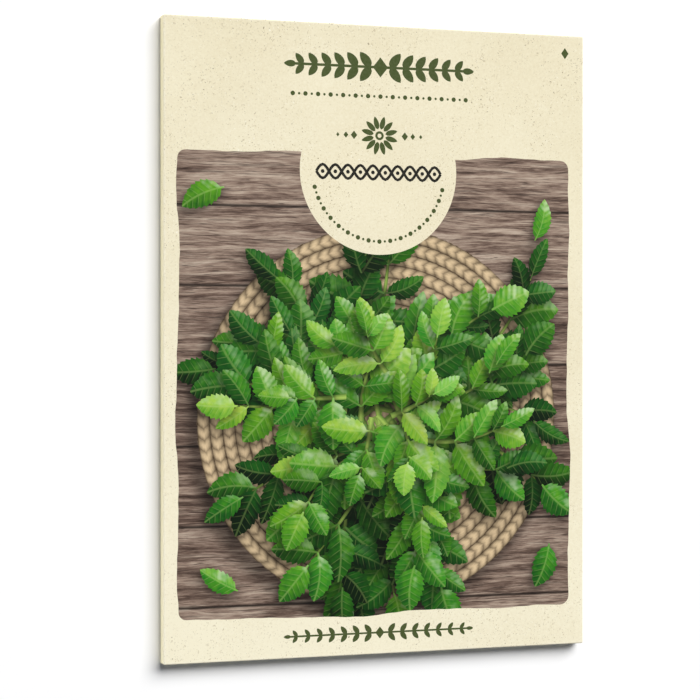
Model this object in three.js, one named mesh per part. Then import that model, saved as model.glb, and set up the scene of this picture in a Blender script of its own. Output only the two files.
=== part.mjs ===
// A flat paper seed packet, filled and sealed, lying on its back with its printed front up.
// Units are millimetres, +Z is up, X runs across the packet and Y from its bottom edge to its top edge.
// The origin is on the surface that the packet lies on, under the middle of the packet.
//
// The packet is one die-cut sheet of paper, folded round and glued. Its panels, folds and flaps are
// separate solids here, cut at the fold lines. Loose seeds lie inside on the back panel.

import * as THREE from "three";

// Driving dimensions
const WIDTH = 81; // across the front, the C7 envelope format
const HEIGHT = 114; // from the bottom fold to the top fold, the C7 envelope format
const THICKNESS = 2.7; // of the filled packet, from the flaps at the back to the front panel
const PAPER = 0.15; // one layer of uncoated 120 g/m2 paper
const GLUE = 0.05; // a dried glue line
const CLEARANCE = 0.03; // between pieces that lie on each other or end at each other
const FOLD_RADIUS = 0.12; // outside radius of a crease, a little under the paper's thickness

const TOP_FLAP_DEPTH = 24; // the closing flap, folded down behind the packet
const TOP_FLAP_TAPER = 5;
const TOP_FLAP_ROUND = 5;
const BOTTOM_FLAP_DEPTH = 15; // folded up behind the packet
const BOTTOM_FLAP_TAPER = 3;
const BOTTOM_FLAP_ROUND = 2.5;
const SEAM_TAB_DEPTH = 12; // folded in from the right edge, under the back panel's free edge
const SEAM_TAB_TAPER = 6;
const SEAM_TAB_ROUND = 1.5;
const BACK_PANEL_INSET = 1.2; // from the back panel's free edges to the packet's outline
const GLUE_WIDTH = 6; // of each glue line
const GLUE_MARGIN = 3; // from a flap's free edge to its glue line

const SEED_COUNT = 44;
const SEED_LENGTH = 2.9;
const SEED_WIDTH = 1.4;
const SEED_FLATTENING = 0.82; // a seed's thickness over its width
const SEED_SPREAD_X = 62; // the seeds lie over this much of the back panel
const SEED_SPREAD_Y = 88;
const SEED_SPREAD_CENTRE = [-4, -4]; // clear of the seam tab

const FOLD_SEGMENTS = 4;
const CORNER_SEGMENTS = 6;
const SEED_SIDES = 8;
const SEED_RINGS = 6;

// Layers, from the surface up
const FLAP_Z = 0;
const FLAP_GLUE_Z = FLAP_Z + PAPER + CLEARANCE;
const BACK_Z = FLAP_GLUE_Z + GLUE + CLEARANCE;
const SEED_Z = BACK_Z + PAPER + CLEARANCE;
const SEAM_GLUE_Z = BACK_Z + PAPER + CLEARANCE;
const SEAM_TAB_Z = SEAM_GLUE_Z + GLUE + CLEARANCE;
const FRONT_Z = THICKNESS - PAPER;

const FOLD_END = PAPER + CLEARANCE; // a panel starts here, measured in from the packet's outline
const TOP_FOLD_LENGTH = WIDTH - 2 * FOLD_END; // the top and bottom folds lie between the side folds

const paper = new THREE.MeshStandardMaterial({ color: 0xf2e9cb, roughness: 0.85, metalness: 0 });
const glue = new THREE.MeshStandardMaterial({ color: 0xe6dcba, roughness: 0.45, metalness: 0 });
const husk = new THREE.MeshStandardMaterial({ color: 0x7d6a48, roughness: 0.8, metalness: 0 });

const packet = new THREE.Group();

// A flat piece: an outline in its parent's XY plane, raised from z by its thickness.
function layer(parent, name, outline, z, thickness, material) {
  const geometry = new THREE.ExtrudeGeometry(outline, {
    depth: thickness,
    bevelEnabled: false,
    curveSegments: CORNER_SEGMENTS,
  });
  const mesh = new THREE.Mesh(geometry, material);
  mesh.name = name;
  mesh.position.z = z;
  parent.add(mesh);
}

function rectangle(x0, y0, x1, y1) {
  return new THREE.Shape()
    .moveTo(x0, y0)
    .lineTo(x1, y0)
    .lineTo(x1, y1)
    .lineTo(x0, y1);
}

// A flap that starts at its fold, gets narrower towards its free edge and has two round corners there.
// The outline's X runs away from the fold, and its Y along the fold.
function flap(depth, foldLength, taper, round) {
  const half = foldLength / 2;
  const narrow = half - taper;
  return new THREE.Shape()
    .moveTo(FOLD_END, -half)
    .lineTo(depth - round, -narrow)
    .quadraticCurveTo(depth, -narrow, depth, -narrow + round)
    .lineTo(depth, narrow - round)
    .quadraticCurveTo(depth, narrow, depth - round, narrow)
    .lineTo(FOLD_END, half);
}

// The glue line along a flap's free edge.
function glueLine(depth, foldLength, taper) {
  const half = foldLength / 2 - taper - GLUE_MARGIN;
  return rectangle(depth - GLUE_MARGIN - GLUE_WIDTH, -half, depth - GLUE_MARGIN, half);
}

// One folded edge of the packet as a frame of its own: the origin is on the packet's outline,
// +X points in across the packet, and Y runs along the edge.
function edge(x, y, inward) {
  const frame = new THREE.Group();
  frame.position.set(x, y, 0);
  frame.rotation.z = inward;
  packet.add(frame);
  return frame;
}

// The strip of paper along an edge, between two creases, from the front panel down to the layer at z.
// Its outer corners are round where the sheet turns over.
function foldStrip(frame, name, z, length) {
  const height = THICKNESS - z;
  const upper = height - FOLD_RADIUS;
  const section = new THREE.Shape()
    .moveTo(PAPER, height)
    .absarc(FOLD_RADIUS, upper, FOLD_RADIUS, Math.PI / 2, Math.PI, false)
    .absarc(FOLD_RADIUS, FOLD_RADIUS, FOLD_RADIUS, Math.PI, 1.5 * Math.PI, false)
    .lineTo(PAPER, 0);
  const geometry = new THREE.ExtrudeGeometry(section, {
    depth: length,
    bevelEnabled: false,
    curveSegments: FOLD_SEGMENTS,
  });
  const mesh = new THREE.Mesh(geometry, paper);
  mesh.name = name;
  mesh.rotation.x = Math.PI / 2;
  mesh.position.set(0, length / 2, z);
  frame.add(mesh);
}

const leftEdge = edge(-WIDTH / 2, 0, 0);
const bottomEdge = edge(0, -HEIGHT / 2, Math.PI / 2);
const rightEdge = edge(WIDTH / 2, 0, Math.PI);
const topEdge = edge(0, HEIGHT / 2, -Math.PI / 2);

// The front panel
const frontX = WIDTH / 2 - FOLD_END;
const frontY = HEIGHT / 2 - FOLD_END;
layer(packet, "front_panel", rectangle(-frontX, -frontY, frontX, frontY), FRONT_Z, PAPER, paper);

// The left edge carries the back panel.
const backHalf = HEIGHT / 2 - BACK_PANEL_INSET;
const backEnd = WIDTH - BACK_PANEL_INSET;
foldStrip(leftEdge, "left_side_fold", BACK_Z, HEIGHT);
layer(leftEdge, "back_panel", rectangle(FOLD_END, -backHalf, backEnd, backHalf), BACK_Z, PAPER, paper);

// The right edge carries the seam tab, which is glued to the inside of the back panel.
const seamLength = HEIGHT - 2 * FOLD_END;
foldStrip(rightEdge, "right_side_fold", SEAM_TAB_Z, HEIGHT);
layer(
  rightEdge,
  "side_seam_tab",
  flap(SEAM_TAB_DEPTH, seamLength, SEAM_TAB_TAPER, SEAM_TAB_ROUND),
  SEAM_TAB_Z,
  PAPER,
  paper,
);
layer(
  rightEdge,
  "side_seam_glue",
  glueLine(SEAM_TAB_DEPTH, seamLength, SEAM_TAB_TAPER),
  SEAM_GLUE_Z,
  GLUE,
  glue,
);

// The bottom and top edges each carry a flap that is glued to the outside of the back panel.
const closures = [
  ["bottom", bottomEdge, BOTTOM_FLAP_DEPTH, BOTTOM_FLAP_TAPER, BOTTOM_FLAP_ROUND],
  ["top", topEdge, TOP_FLAP_DEPTH, TOP_FLAP_TAPER, TOP_FLAP_ROUND],
];
for (const [end, frame, depth, taper, round] of closures) {
  foldStrip(frame, `${end}_fold`, FLAP_Z, TOP_FOLD_LENGTH);
  layer(frame, `${end}_flap`, flap(depth, TOP_FOLD_LENGTH, taper, round), FLAP_Z, PAPER, paper);
  layer(frame, `${end}_flap_glue`, glueLine(depth, TOP_FOLD_LENGTH, taper), FLAP_GLUE_Z, GLUE, glue);
}

// One seed: an egg-shaped body of revolution about Y, wider at its base than at its tip.
function seedGeometry() {
  const profile = [];
  for (let ring = 0; ring <= SEED_RINGS; ring++) {
    const along = ring / SEED_RINGS;
    const round = Math.sin(Math.PI * along);
    const egg = 1.1 - 0.35 * along;
    const onAxis = ring === 0 || ring === SEED_RINGS;
    const radius = onAxis ? 0 : (SEED_WIDTH / 2) * round * egg;
    profile.push(new THREE.Vector2(radius, (along - 0.5) * SEED_LENGTH));
  }
  return new THREE.LatheGeometry(profile, SEED_SIDES);
}

// The seeds lie flat and evenly scattered. Their places follow a two-dimensional golden-ratio sequence,
// which keeps neighbours apart, and each seed is turned by the golden angle from the one before it.
const SEQUENCE_X = 0.7548776662;
const SEQUENCE_Y = 0.5698402909;
const GOLDEN_ANGLE = Math.PI * (3 - Math.sqrt(5));
const seedThickness = SEED_WIDTH * SEED_FLATTENING;
const seed = seedGeometry();
for (let index = 0; index < SEED_COUNT; index++) {
  const shareX = (0.5 + SEQUENCE_X * index) % 1;
  const shareY = (0.5 + SEQUENCE_Y * index) % 1;
  const mesh = new THREE.Mesh(seed, husk);
  mesh.name = `seed_${String(index + 1).padStart(2, "0")}`;
  mesh.position.set(
    SEED_SPREAD_CENTRE[0] + (shareX - 0.5) * SEED_SPREAD_X,
    SEED_SPREAD_CENTRE[1] + (shareY - 0.5) * SEED_SPREAD_Y,
    SEED_Z + seedThickness / 2,
  );
  mesh.rotation.z = index * GOLDEN_ANGLE;
  mesh.scale.z = SEED_FLATTENING;
  packet.add(mesh);
}

export default packet;
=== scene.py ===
# %% [markdown]
# # A paper seed packet
#
# The packet is one die-cut sheet of cream paper, folded round and glued, with loose seeds inside. It lies
# on its back, with its printed front up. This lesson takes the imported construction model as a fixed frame
# and makes the parts that are seen: the printed front with its folds, the back and the flaps, the glue
# lines and the seeds. Lengths are in millimetres here, and a mesh gets them in metres when it is made.

import bpy
import numpy as np
from mathutils import Matrix, Vector
from mathutils.geometry import delaunay_2d_cdt


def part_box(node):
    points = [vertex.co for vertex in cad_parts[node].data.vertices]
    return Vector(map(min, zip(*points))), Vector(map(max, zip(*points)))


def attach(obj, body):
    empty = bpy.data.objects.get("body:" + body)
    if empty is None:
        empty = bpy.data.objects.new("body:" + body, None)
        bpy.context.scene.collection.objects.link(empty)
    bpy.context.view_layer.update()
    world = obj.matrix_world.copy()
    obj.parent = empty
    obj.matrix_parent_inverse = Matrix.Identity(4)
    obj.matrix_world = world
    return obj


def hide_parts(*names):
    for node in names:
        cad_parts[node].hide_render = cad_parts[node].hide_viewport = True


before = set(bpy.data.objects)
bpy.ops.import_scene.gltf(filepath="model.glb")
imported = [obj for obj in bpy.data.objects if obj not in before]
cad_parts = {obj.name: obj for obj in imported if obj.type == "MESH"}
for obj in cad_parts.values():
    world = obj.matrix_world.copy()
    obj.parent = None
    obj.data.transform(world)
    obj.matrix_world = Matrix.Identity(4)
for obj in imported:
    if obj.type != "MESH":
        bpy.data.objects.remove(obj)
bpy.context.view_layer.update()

MM = 0.001  # one millimetre in metres

print("construction pieces:", len(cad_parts))

# %% [markdown]
# Every size comes from the frame. The packet's outline is the box of the whole model. The levels of the
# paper layers are the undersides of the panels, the flaps and the seam tab, and the paper's thickness is
# that of the front panel. The sizes could be written down here a second time, but then the two models
# could drift apart.

# %% Driving dimensions
def node_box(node):
    """The lowest and highest corner of a construction piece, in millimetres."""
    low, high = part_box(node)
    return np.array(low) / MM, np.array(high) / MM


front_low, front_high = node_box("front_panel")
left_low, left_high = node_box("left_side_fold")
right_low, right_high = node_box("right_side_fold")

WIDTH = right_high[0] - left_low[0]
HEIGHT = left_high[1] - left_low[1]
FRONT_Z = front_high[2]  # the printed face
PAPER = front_high[2] - front_low[2]
BACK_Z = left_low[2]  # underside of the back panel
TAB_Z = right_low[2]  # underside of the seam tab
FLAP_Z = 0.0  # underside of the two flaps

print(f"packet {WIDTH:.1f} x {HEIGHT:.1f} x {FRONT_Z:.1f} mm, paper {PAPER:.2f} mm")

# %% [markdown]
# The camera stands where the photograph was taken from: to the left of the packet and well above it, with
# a long lens. A camera that was fitted to the edges of the front gives its place, its direction and the
# focal length in pixels of a picture 700 pixels wide. Blender wants that focal length in millimetres on a
# sensor 36 mm wide.

# %% Camera
PICTURE_PIXELS = 700
FOCAL_PIXELS = 2069.8
SENSOR_WIDTH = 36.0
CAMERA_PLACE = Vector((-129.9, -0.8, 355.1)) * MM
CAMERA_DIRECTION = Vector((0.3331, -0.0028, -0.9470))
CAMERA_UP = Vector((0.0, 1.0, 0.0))
NEAREST = 0.01  # in metres


def looking(direction, up):
    """The turn that points an object's -Z along direction, with its +Y as near to up as that allows."""
    back = -direction.normalized()
    right = up.cross(back).normalized()
    return Matrix((right, back.cross(right), back)).transposed().to_4x4()


camera_data = bpy.data.cameras.new("camera")
camera_data.lens = FOCAL_PIXELS / PICTURE_PIXELS * SENSOR_WIDTH
camera_data.sensor_width = SENSOR_WIDTH
camera_data.clip_start = NEAREST
camera = bpy.data.objects.new("camera", camera_data)
camera.matrix_world = Matrix.Translation(CAMERA_PLACE) @ looking(CAMERA_DIRECTION, CAMERA_UP)
bpy.context.scene.collection.objects.link(camera)
bpy.context.scene.camera = camera
print(f"camera lens {camera_data.lens:.1f} mm")

# %% [markdown]
# The light is plain and soft. One very large lamp hangs above the packet, on the side of its top edge and
# to the right, so the shadow is dark along the bottom edge, weaker along the left edge, and fades out
# evenly. Cream paper throws warm light into its own shadow. A lamp that is a little warm and a weak sky
# that is a little blue make that shadow a plain grey. A small lamp at the level of the floor lights the
# narrow side that faces the camera and hardly anything else, and it is set to cast no shadow. The plain
# view transform keeps the white floor white.

# %% Light
KEY_FROM = Vector((0.46, 0.82, 1.0))
KEY_DISTANCE = 4.0
KEY_SIZE = (3.9, 2.5)
KEY_WATTS = 261.0
KEY_TINT = (1.0, 0.99, 0.97)
FILL_FROM = Vector((-1.0, -0.1, 0.0))
FILL_DISTANCE = 0.9
FILL_SIZE = (0.08, 0.5)
FILL_WATTS = 3.6
SKY_STRENGTH = 0.09
SKY_TINT = (0.6, 0.72, 1.0)


def lamp(name, towards, distance, size, watts, tint=(1.0, 1.0, 1.0), casts_shadow=True):
    """A flat lamp that far from the packet in a direction, facing the packet, that no camera sees itself."""
    data = bpy.data.lights.new(name, "AREA")
    data.shape = "RECTANGLE"
    data.size, data.size_y = size
    data.energy = watts
    data.color = tint
    data.use_shadow = casts_shadow
    lamp_object = bpy.data.objects.new(name, data)
    place = towards.normalized() * distance
    lamp_object.matrix_world = Matrix.Translation(place) @ looking(-towards, CAMERA_UP)
    lamp_object.visible_camera = False
    bpy.context.scene.collection.objects.link(lamp_object)


lamp("key_lamp", KEY_FROM, KEY_DISTANCE, KEY_SIZE, KEY_WATTS, KEY_TINT)
lamp("fill_lamp", FILL_FROM, FILL_DISTANCE, FILL_SIZE, FILL_WATTS, casts_shadow=False)

sky = bpy.data.worlds.new("sky")
sky.use_nodes = True
background = sky.node_tree.nodes["Background"]
background.inputs["Color"].default_value = (*SKY_TINT, 1.0)
background.inputs["Strength"].default_value = SKY_STRENGTH
bpy.context.scene.world = sky
bpy.context.scene.view_settings.view_transform = "Standard"
print("two lamps and a weak blue sky")

# %% [markdown]
# Shader maths reads best as plain expressions. `Value` wraps one output socket, and its operators add
# Math nodes, so `1 - mask` makes a Subtract node. `Finish` is a material that is being made: its `add`
# makes any other node, and its `close` wires the finished surface.

# %% Shader expressions
def operator_pair(operation):
    """An operator on a Value and the same operator with the Value on the right."""

    def forward(self, other):
        return self.finish.math(operation, self, other)

    def reflected(self, other):
        return self.finish.math(operation, other, self)

    return forward, reflected


class Value:
    """An output socket whose number or colour changes over a surface."""

    def __init__(self, finish, socket):
        self.finish = finish
        self.socket = socket

    __add__, __radd__ = operator_pair("ADD")
    __sub__, __rsub__ = operator_pair("SUBTRACT")
    __mul__, __rmul__ = operator_pair("MULTIPLY")
    __truediv__, __rtruediv__ = operator_pair("DIVIDE")
    __pow__, __rpow__ = operator_pair("POWER")
    __mod__, __rmod__ = operator_pair("FLOORED_MODULO")

    def __abs__(self):
        return self.finish.math("ABSOLUTE", self)

    def floor(self):
        return self.finish.math("FLOOR", self)

    def sine(self):
        return self.finish.math("SINE", self)

    def at_least(self, least):
        return self.finish.math("MAXIMUM", self, least)

    def step(self, start, end):
        """0 before start, 1 after end, and a smooth rise between them; start may be the larger one."""
        sockets = {"Value": self, "From Min": start, "From Max": end}
        return self.finish.add("ShaderNodeMapRange", {"interpolation_type": "SMOOTHSTEP"}, sockets)

    def parts(self):
        """The three numbers of a vector."""
        node = self.finish.add("ShaderNodeSeparateXYZ", {}, {"Vector": self}).socket.node
        return [Value(self.finish, socket) for socket in node.outputs]


class Finish:
    """A material with methods that add nodes to it."""

    MIX_COLOURS = (6, 7, 2)  # the Mix node's colour sockets: first input, second input, output

    def __init__(self, name):
        self.material = bpy.data.materials.new(name)
        self.material.use_nodes = True
        self.tree = self.material.node_tree
        self.shader = self.tree.nodes["Principled BSDF"]

    def join(self, socket, value):
        if isinstance(value, Value):
            self.tree.links.new(value.socket, socket)
        else:
            socket.default_value = value

    def add(self, kind, settings, sockets, output=0):
        """Any node: its type, its settings, and the values or links of its sockets."""
        node = self.tree.nodes.new(kind)
        for setting, value in settings.items():
            if setting == "stops":
                ramp = node.color_ramp.elements
                while len(ramp) < len(value):
                    ramp.new(1.0)
                for element, (position, colour) in zip(ramp, value):
                    element.position = position
                    element.color = colour
            else:
                setattr(node, setting, value)
        for socket, value in sockets.items():
            self.join(node.inputs[socket], value)
        return Value(self, node.outputs[output])

    def math(self, operation, *terms):
        return self.add("ShaderNodeMath", {"operation": operation}, dict(enumerate(terms)))

    def vector(self, operation, first, second):
        return self.add("ShaderNodeVectorMath", {"operation": operation}, {0: first, 1: second})

    def combine(self, x, y, z=0.0):
        return self.add("ShaderNodeCombineXYZ", {}, {"X": x, "Y": y, "Z": z})

    def mix(self, share, first, second, blend="MIX"):
        """Colour first where share is 0, and colour second where it is 1."""
        a, b, result = self.MIX_COLOURS
        settings = {"data_type": "RGBA", "blend_type": blend}
        return self.add("ShaderNodeMix", settings, {0: share, a: first, b: second}, result)

    def lit(self, colour, light):
        """A colour times a number."""
        grey = self.add("ShaderNodeCombineColor", {}, {"Red": light, "Green": light, "Blue": light})
        return self.mix(1.0, colour, grey, "MULTIPLY")

    def ramp(self, value, stops):
        return self.add("ShaderNodeValToRGB", {"stops": stops}, {"Fac": value})

    def place(self):
        """The point on the piece, in millimetres."""
        metres = self.add("ShaderNodeTexCoord", {}, {}, "Object")
        return self.vector("DIVIDE", metres, (MM, MM, MM))

    def noise(self, place, per_mm, detail=3.0, roughness=0.5):
        """Soft noise around 0.5, with that many waves to a millimetre."""
        sockets = {"Vector": place, "Scale": per_mm, "Detail": detail, "Roughness": roughness}
        return self.add("ShaderNodeTexNoise", {}, sockets, "Fac")

    def attribute(self, name):
        return self.add("ShaderNodeAttribute", {"attribute_name": name}, {}, "Vector").parts()

    def close(self, colour, roughness, height=None, relief=0.0, specular=0.12):
        """Wires colour, roughness and a height in millimetres times relief into the shader."""
        self.join(self.shader.inputs["Base Color"], colour)
        self.join(self.shader.inputs["Roughness"], roughness)
        self.shader.inputs["Specular IOR Level"].default_value = specular
        if height is not None:
            sockets = {"Height": height, "Strength": 1.0, "Distance": relief * MM}
            self.join(self.shader.inputs["Normal"], self.add("ShaderNodeBump", {}, sockets))
        return self.material


def ink(red, green, blue):
    """A colour as a designer writes it, 0 to 255 a channel, as the linear colour that Blender wants."""
    share = np.array([red, green, blue]) / 255
    linear = np.where(share <= 0.04045, share / 12.92, ((share + 0.055) / 1.055) ** 2.4)
    return (*linear.tolist(), 1.0)


print(f"mid grey, written 128, is {ink(128, 128, 128)[0]:.3f} for Blender")

# %% [markdown]
# The floor is a plain white sheet, far larger than the view. It isn't part of the packet. A flat sheet
# needs one face only. Its mesh is made by the same function that makes every other piece, with smooth
# faces, because all the pieces but the floor are curved somewhere.

# %% Floor
FLOOR_HALF = 3000.0
FLOOR_Z = -0.02  # just under the flaps


def build_mesh(name, points, faces, materials):
    """A mesh object at the origin, with smooth faces, from points in millimetres and a list of faces."""
    mesh = bpy.data.meshes.new(name)
    mesh.from_pydata((np.asarray(points, float) * MM).tolist(), [], faces, shade_flat=False)
    for material in materials:
        mesh.materials.append(material)
    mesh.update()
    piece = bpy.data.objects.new(name, mesh)
    bpy.context.scene.collection.objects.link(piece)
    return piece


def floor_finish():
    finish = Finish("white floor")
    grain = finish.noise(finish.place(), 0.02)
    return finish.close(finish.mix(grain, ink(252, 252, 252), ink(255, 255, 255)), 0.9, specular=0.0)


corner_signs = np.array([[-1, -1], [1, -1], [1, 1], [-1, 1]])
floor_points = np.c_[corner_signs * FLOOR_HALF, np.full(4, FLOOR_Z)]
floor = build_mesh("floor", floor_points, [(0, 1, 2, 3)], [floor_finish()])
print("floor", 2 * FLOOR_HALF * MM, "m wide")

# %% [markdown]
# The paper is uncoated and cream, made from waste paper, so it is never one flat colour. It has cloudy
# tone, a fine grain, crumbs that are lighter or darker than the rest, and short brown fibres that lie in
# all directions and are thicker in some places than in others. Crumbs are Voronoi cells: the distance to
# a cell's centre gives a dot, and the cell's random colour says how large the dot is, if it is there at
# all. A fibre is the same dot in a space that is turned and stretched. Moving the places about a little
# first takes the round shape away. Along the creases the fibres are broken and look paler. Shade is also
# painted into the colour: the paper gets a little darker towards the top and towards the right, and the
# narrow sides are painted darker and yellower.

# %% Paper finish
CREAM_LIGHT = ink(244, 237, 210)
CREAM_SHADE = ink(226, 215, 182)
CRUMB_PALE = ink(251, 247, 230)
CRUMB_DARK = ink(166, 150, 112)
FLECK = ink(112, 94, 64)
FIBRE = ink(150, 130, 92)
FIBRE_TURNS = (0.3, 1.1, 1.9, 2.7)
CREASE_PALE = ink(250, 246, 232)
# painted shade: the narrow sides are darker and yellower than the front
SIDE_PAINTED_SHADE = ink(236, 226, 178)
# painted shade: the paper's tone darkens a little towards the right and towards the top
PAINTED_SHADE_PER_MM = (0.001, 0.0042)  # how much the tone deepens towards the right and towards the top
PAPER_ROUGHNESS = 0.82
LINE_ROUGHNESS = 0.68  # of a line print
PAPER_RELIEF = 0.012  # in millimetres


def flecks(finish, place, per_mm, share, smallest, largest):
    """Dots of random size in a given share of the cells, 1 in a dot. Sizes are radii in millimetres."""
    flat = {"voronoi_dimensions": "2D"}
    voronoi = finish.add("ShaderNodeTexVoronoi", flat, {"Vector": place, "Scale": per_mm}).socket.node
    distance = Value(finish, voronoi.outputs["Distance"])
    chance, size, _ = Value(finish, voronoi.outputs["Color"]).parts()
    radius = (smallest + size * (largest - smallest)) * per_mm
    there = chance.step(share + 0.01, share - 0.01)
    return (distance / radius).step(1.0, 0.5) * there


def wander(finish, place, per_mm, reach):
    """The place moved about at random, by up to half of reach each way."""
    sockets = {"Vector": place, "Scale": per_mm, "Detail": 2.0}
    random_move = finish.add("ShaderNodeTexNoise", {}, sockets, "Color")
    centred = finish.vector("SUBTRACT", random_move, (0.5, 0.5, 0.5))
    return finish.vector("ADD", place, finish.vector("MULTIPLY", centred, (reach, reach, reach)))


def stretched(finish, place, turn, length, width):
    """The place in a space that is turned about Z, where a dot of radius 1 is that long and wide here."""
    settings = {"vector_type": "TEXTURE"}
    sockets = {"Vector": place, "Rotation": (0.0, 0.0, turn), "Scale": (length, width, 1.0)}
    return finish.add("ShaderNodeMapping", settings, sockets)


def fibre_height(finish, place):
    """How far the paper's fibres stand up, from 0 to 1."""
    return finish.noise(place, 5.0, 4.0, 0.7)


def paper_surface(finish):
    """The colour of bare paper, and the height of its fibres and grain. Adding z to both x and y keeps the
    brown fibres short on the packet's narrow sides too."""
    place = finish.place()
    x, y, z = place.parts()
    moved = wander(finish, finish.combine(x + z, y + z), 1.8, 0.7)
    clouds = finish.noise(place, 0.045, 2.0)
    crowd = 0.25 + finish.noise(place, 0.11, 2.0).step(0.36, 0.66)
    grain = finish.noise(place, 2.4, 3.0, 0.65)
    # painted shade: the tone gets darker towards the top and the right
    painted_shade = x * PAINTED_SHADE_PER_MM[0] + y * PAINTED_SHADE_PER_MM[1]
    tone = clouds * 0.8 + grain * 1.15 + painted_shade - 0.635
    colour = finish.mix(tone, CREAM_LIGHT, CREAM_SHADE)
    for turn in FIBRE_TURNS:
        fibres = flecks(finish, stretched(finish, moved, turn, 2.2, 0.7), 1.0, 0.16, 0.06, 0.17)
        colour = finish.mix(fibres * crowd * 0.34, colour, FIBRE)
    layers = [
        # cells to a millimetre, share of cells, smallest and largest radius, strength, colour
        (1.35, 0.36, 0.05, 0.12, 0.65, CRUMB_PALE),
        (1.7, 0.45, 0.05, 0.11, 0.5, CRUMB_DARK),
        (2.6, 0.22, 0.03, 0.07, 0.7, FLECK),
        (0.55, 0.45, 0.06, 0.14, 0.65, FLECK),
    ]
    for per_mm, share, smallest, largest, strength, tint in layers:
        crumbs = flecks(finish, moved, per_mm, share, smallest, largest)
        colour = finish.mix(crumbs * crowd * strength, colour, tint)
    past_edge = (abs(x) - WIDTH / 2).at_least(abs(y) - HEIGHT / 2)
    on_side = past_edge.step(-0.3, -0.05)
    from_front = FRONT_Z - z
    # painted shade: the narrow sides get a darker, yellower colour
    colour = finish.mix(on_side * from_front.step(0.1, 0.4) * 0.4, colour, SIDE_PAINTED_SHADE)
    crease = past_edge.step(-0.6, -0.15) * from_front.step(0.4, 0.12)
    worn = finish.noise(place, 0.9, 4.0, 0.7).step(0.34, 0.6)
    colour = finish.mix(crease * worn * 0.25, colour, CREASE_PALE)
    return colour, fibre_height(finish, place) + grain


def paper_finish():
    finish = Finish("cream paper")
    colour, height = paper_surface(finish)
    return finish.close(colour, PAPER_ROUGHNESS, height, PAPER_RELIEF)


def line_ink_finish(name, colour):
    """A one-colour line print: the ink lies on the paper a little unevenly, and the fibres show through."""
    finish = Finish(name)
    paper_colour, height = paper_surface(finish)
    cover = 0.93 + finish.noise(finish.place(), 2.2, 3.0, 0.6) * 0.1
    return finish.close(finish.mix(cover, paper_colour, colour), LINE_ROUGHNESS, height, PAPER_RELIEF)


paper = paper_finish()
olive = line_ink_finish("olive ink", ink(66, 80, 36))
black = line_ink_finish("black ink", ink(10, 10, 9))
print("paper and two line inks")

# %% [markdown]
# The picture on the front shows a heap of leafy sprigs on a round plaited mat, on wooden boards, seen
# from above. A print has its light and shade in its colours. So each leaf carries its own place as an
# attribute: how far along the leaf a point is and how far across it, how the leaf lies to the light of
# the picture, how light and how yellow it is, and how much the leaves above it shade that point. The
# finish turns this into a midrib, side veins, two halves that catch the light differently, a quilted
# surface between the veins and soft gloss.

# %% Leaf finish
VEIN_PAIRS = 7
VEIN_SLANT = 0.16
COOL_GREENS = [
    (0.0, ink(5, 27, 7)),
    (0.3, ink(20, 86, 22)),
    (0.62, ink(52, 140, 34)),
    (1.0, ink(124, 192, 80)),
]
WARM_GREENS = [
    (0.0, ink(10, 32, 4)),
    (0.3, ink(42, 99, 13)),
    (0.62, ink(100, 159, 28)),
    (1.0, ink(180, 209, 78)),
]
VEIN_GREEN = ink(172, 204, 116)
GLOSS_GREEN = ink(214, 230, 196)
STEM_SHADE = ink(46, 96, 28)
STEM_LIGHT = ink(166, 196, 92)
PRINT_ROUGHNESS = 0.62  # the inks of a full-colour picture fill the paper's grain


def close_print(finish, colour, place):
    """A full-colour print: smoother than bare paper, but the fibres still show."""
    return finish.close(colour, PRINT_ROUGHNESS, fibre_height(finish, place), PAPER_RELIEF)


def leaf_finish():
    finish = Finish("printed leaf")
    along, across, lean = finish.attribute("blade_place")
    tone, shade, warmth = finish.attribute("blade_light")
    pitch, _, _ = finish.attribute("blade_turn")
    place = finish.place()
    out = abs(across)
    half = (across * 3.0).step(-1.0, 1.0) * 2.0 - 1.0
    tilt = lean * half
    arch = pitch * (along - 0.45)
    wave = ((along - out * VEIN_SLANT) * VEIN_PAIRS) % 1.0
    from_vein = 0.5 - abs(wave - 0.5)
    side_vein = from_vein.step(0.1, 0.0) * out.step(1.0, 0.3)
    midrib = out.step(0.1, 0.03)
    veins = side_vein.at_least(midrib)
    quilt = (wave * (2 * np.pi)).sine() * (pitch + tilt * 0.5)
    mottle = finish.noise(place, 0.7, 3.0) - 0.5
    light = tone + tilt * 0.15 + arch * 0.4 + quilt * 0.04 + mottle * 0.26 + from_vein * 0.1 - out * 0.06
    colour = finish.mix(warmth + mottle, finish.ramp(light, COOL_GREENS), finish.ramp(light, WARM_GREENS))
    sheen = finish.noise(place, 0.5, 2.0) * 1.7 - 0.85
    gloss = (tilt * 0.5 + arch * 1.3 + quilt * 0.14 + sheen).step(0.25, 1.0) * tone.step(0.1, 0.6)
    colour = finish.mix(gloss * 0.5, colour, GLOSS_GREEN)
    colour = finish.mix(veins * (0.12 + tone * 0.3), colour, VEIN_GREEN)
    return close_print(finish, finish.lit(colour, shade), place)


def stem_finish():
    finish = Finish("printed stem")
    _, across, lean = finish.attribute("blade_place")
    _, shade, _ = finish.attribute("blade_light")
    place = finish.place()
    round_light = 1.0 - abs(across + lean * 0.35) * 0.65
    streaks = finish.noise(place, 0.6) - 0.5
    colour = finish.mix(round_light + streaks * 0.5, STEM_SHADE, STEM_LIGHT)
    return close_print(finish, finish.lit(colour, shade), place)


leaf_print = leaf_finish()
stem_print = stem_finish()
print("leaf with", VEIN_PAIRS, "pairs of veins")

# %% [markdown]
# Behind the leaves are the mat and the boards. The mat is a plait laid in rings: the distance from its
# centre gives the ring and the place across the plait, and the angle gives the strand. The number of
# strands in a ring is rounded, so that each ring closes. A board is a band of height, and its grain is
# noise that is stretched along the board.

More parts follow.
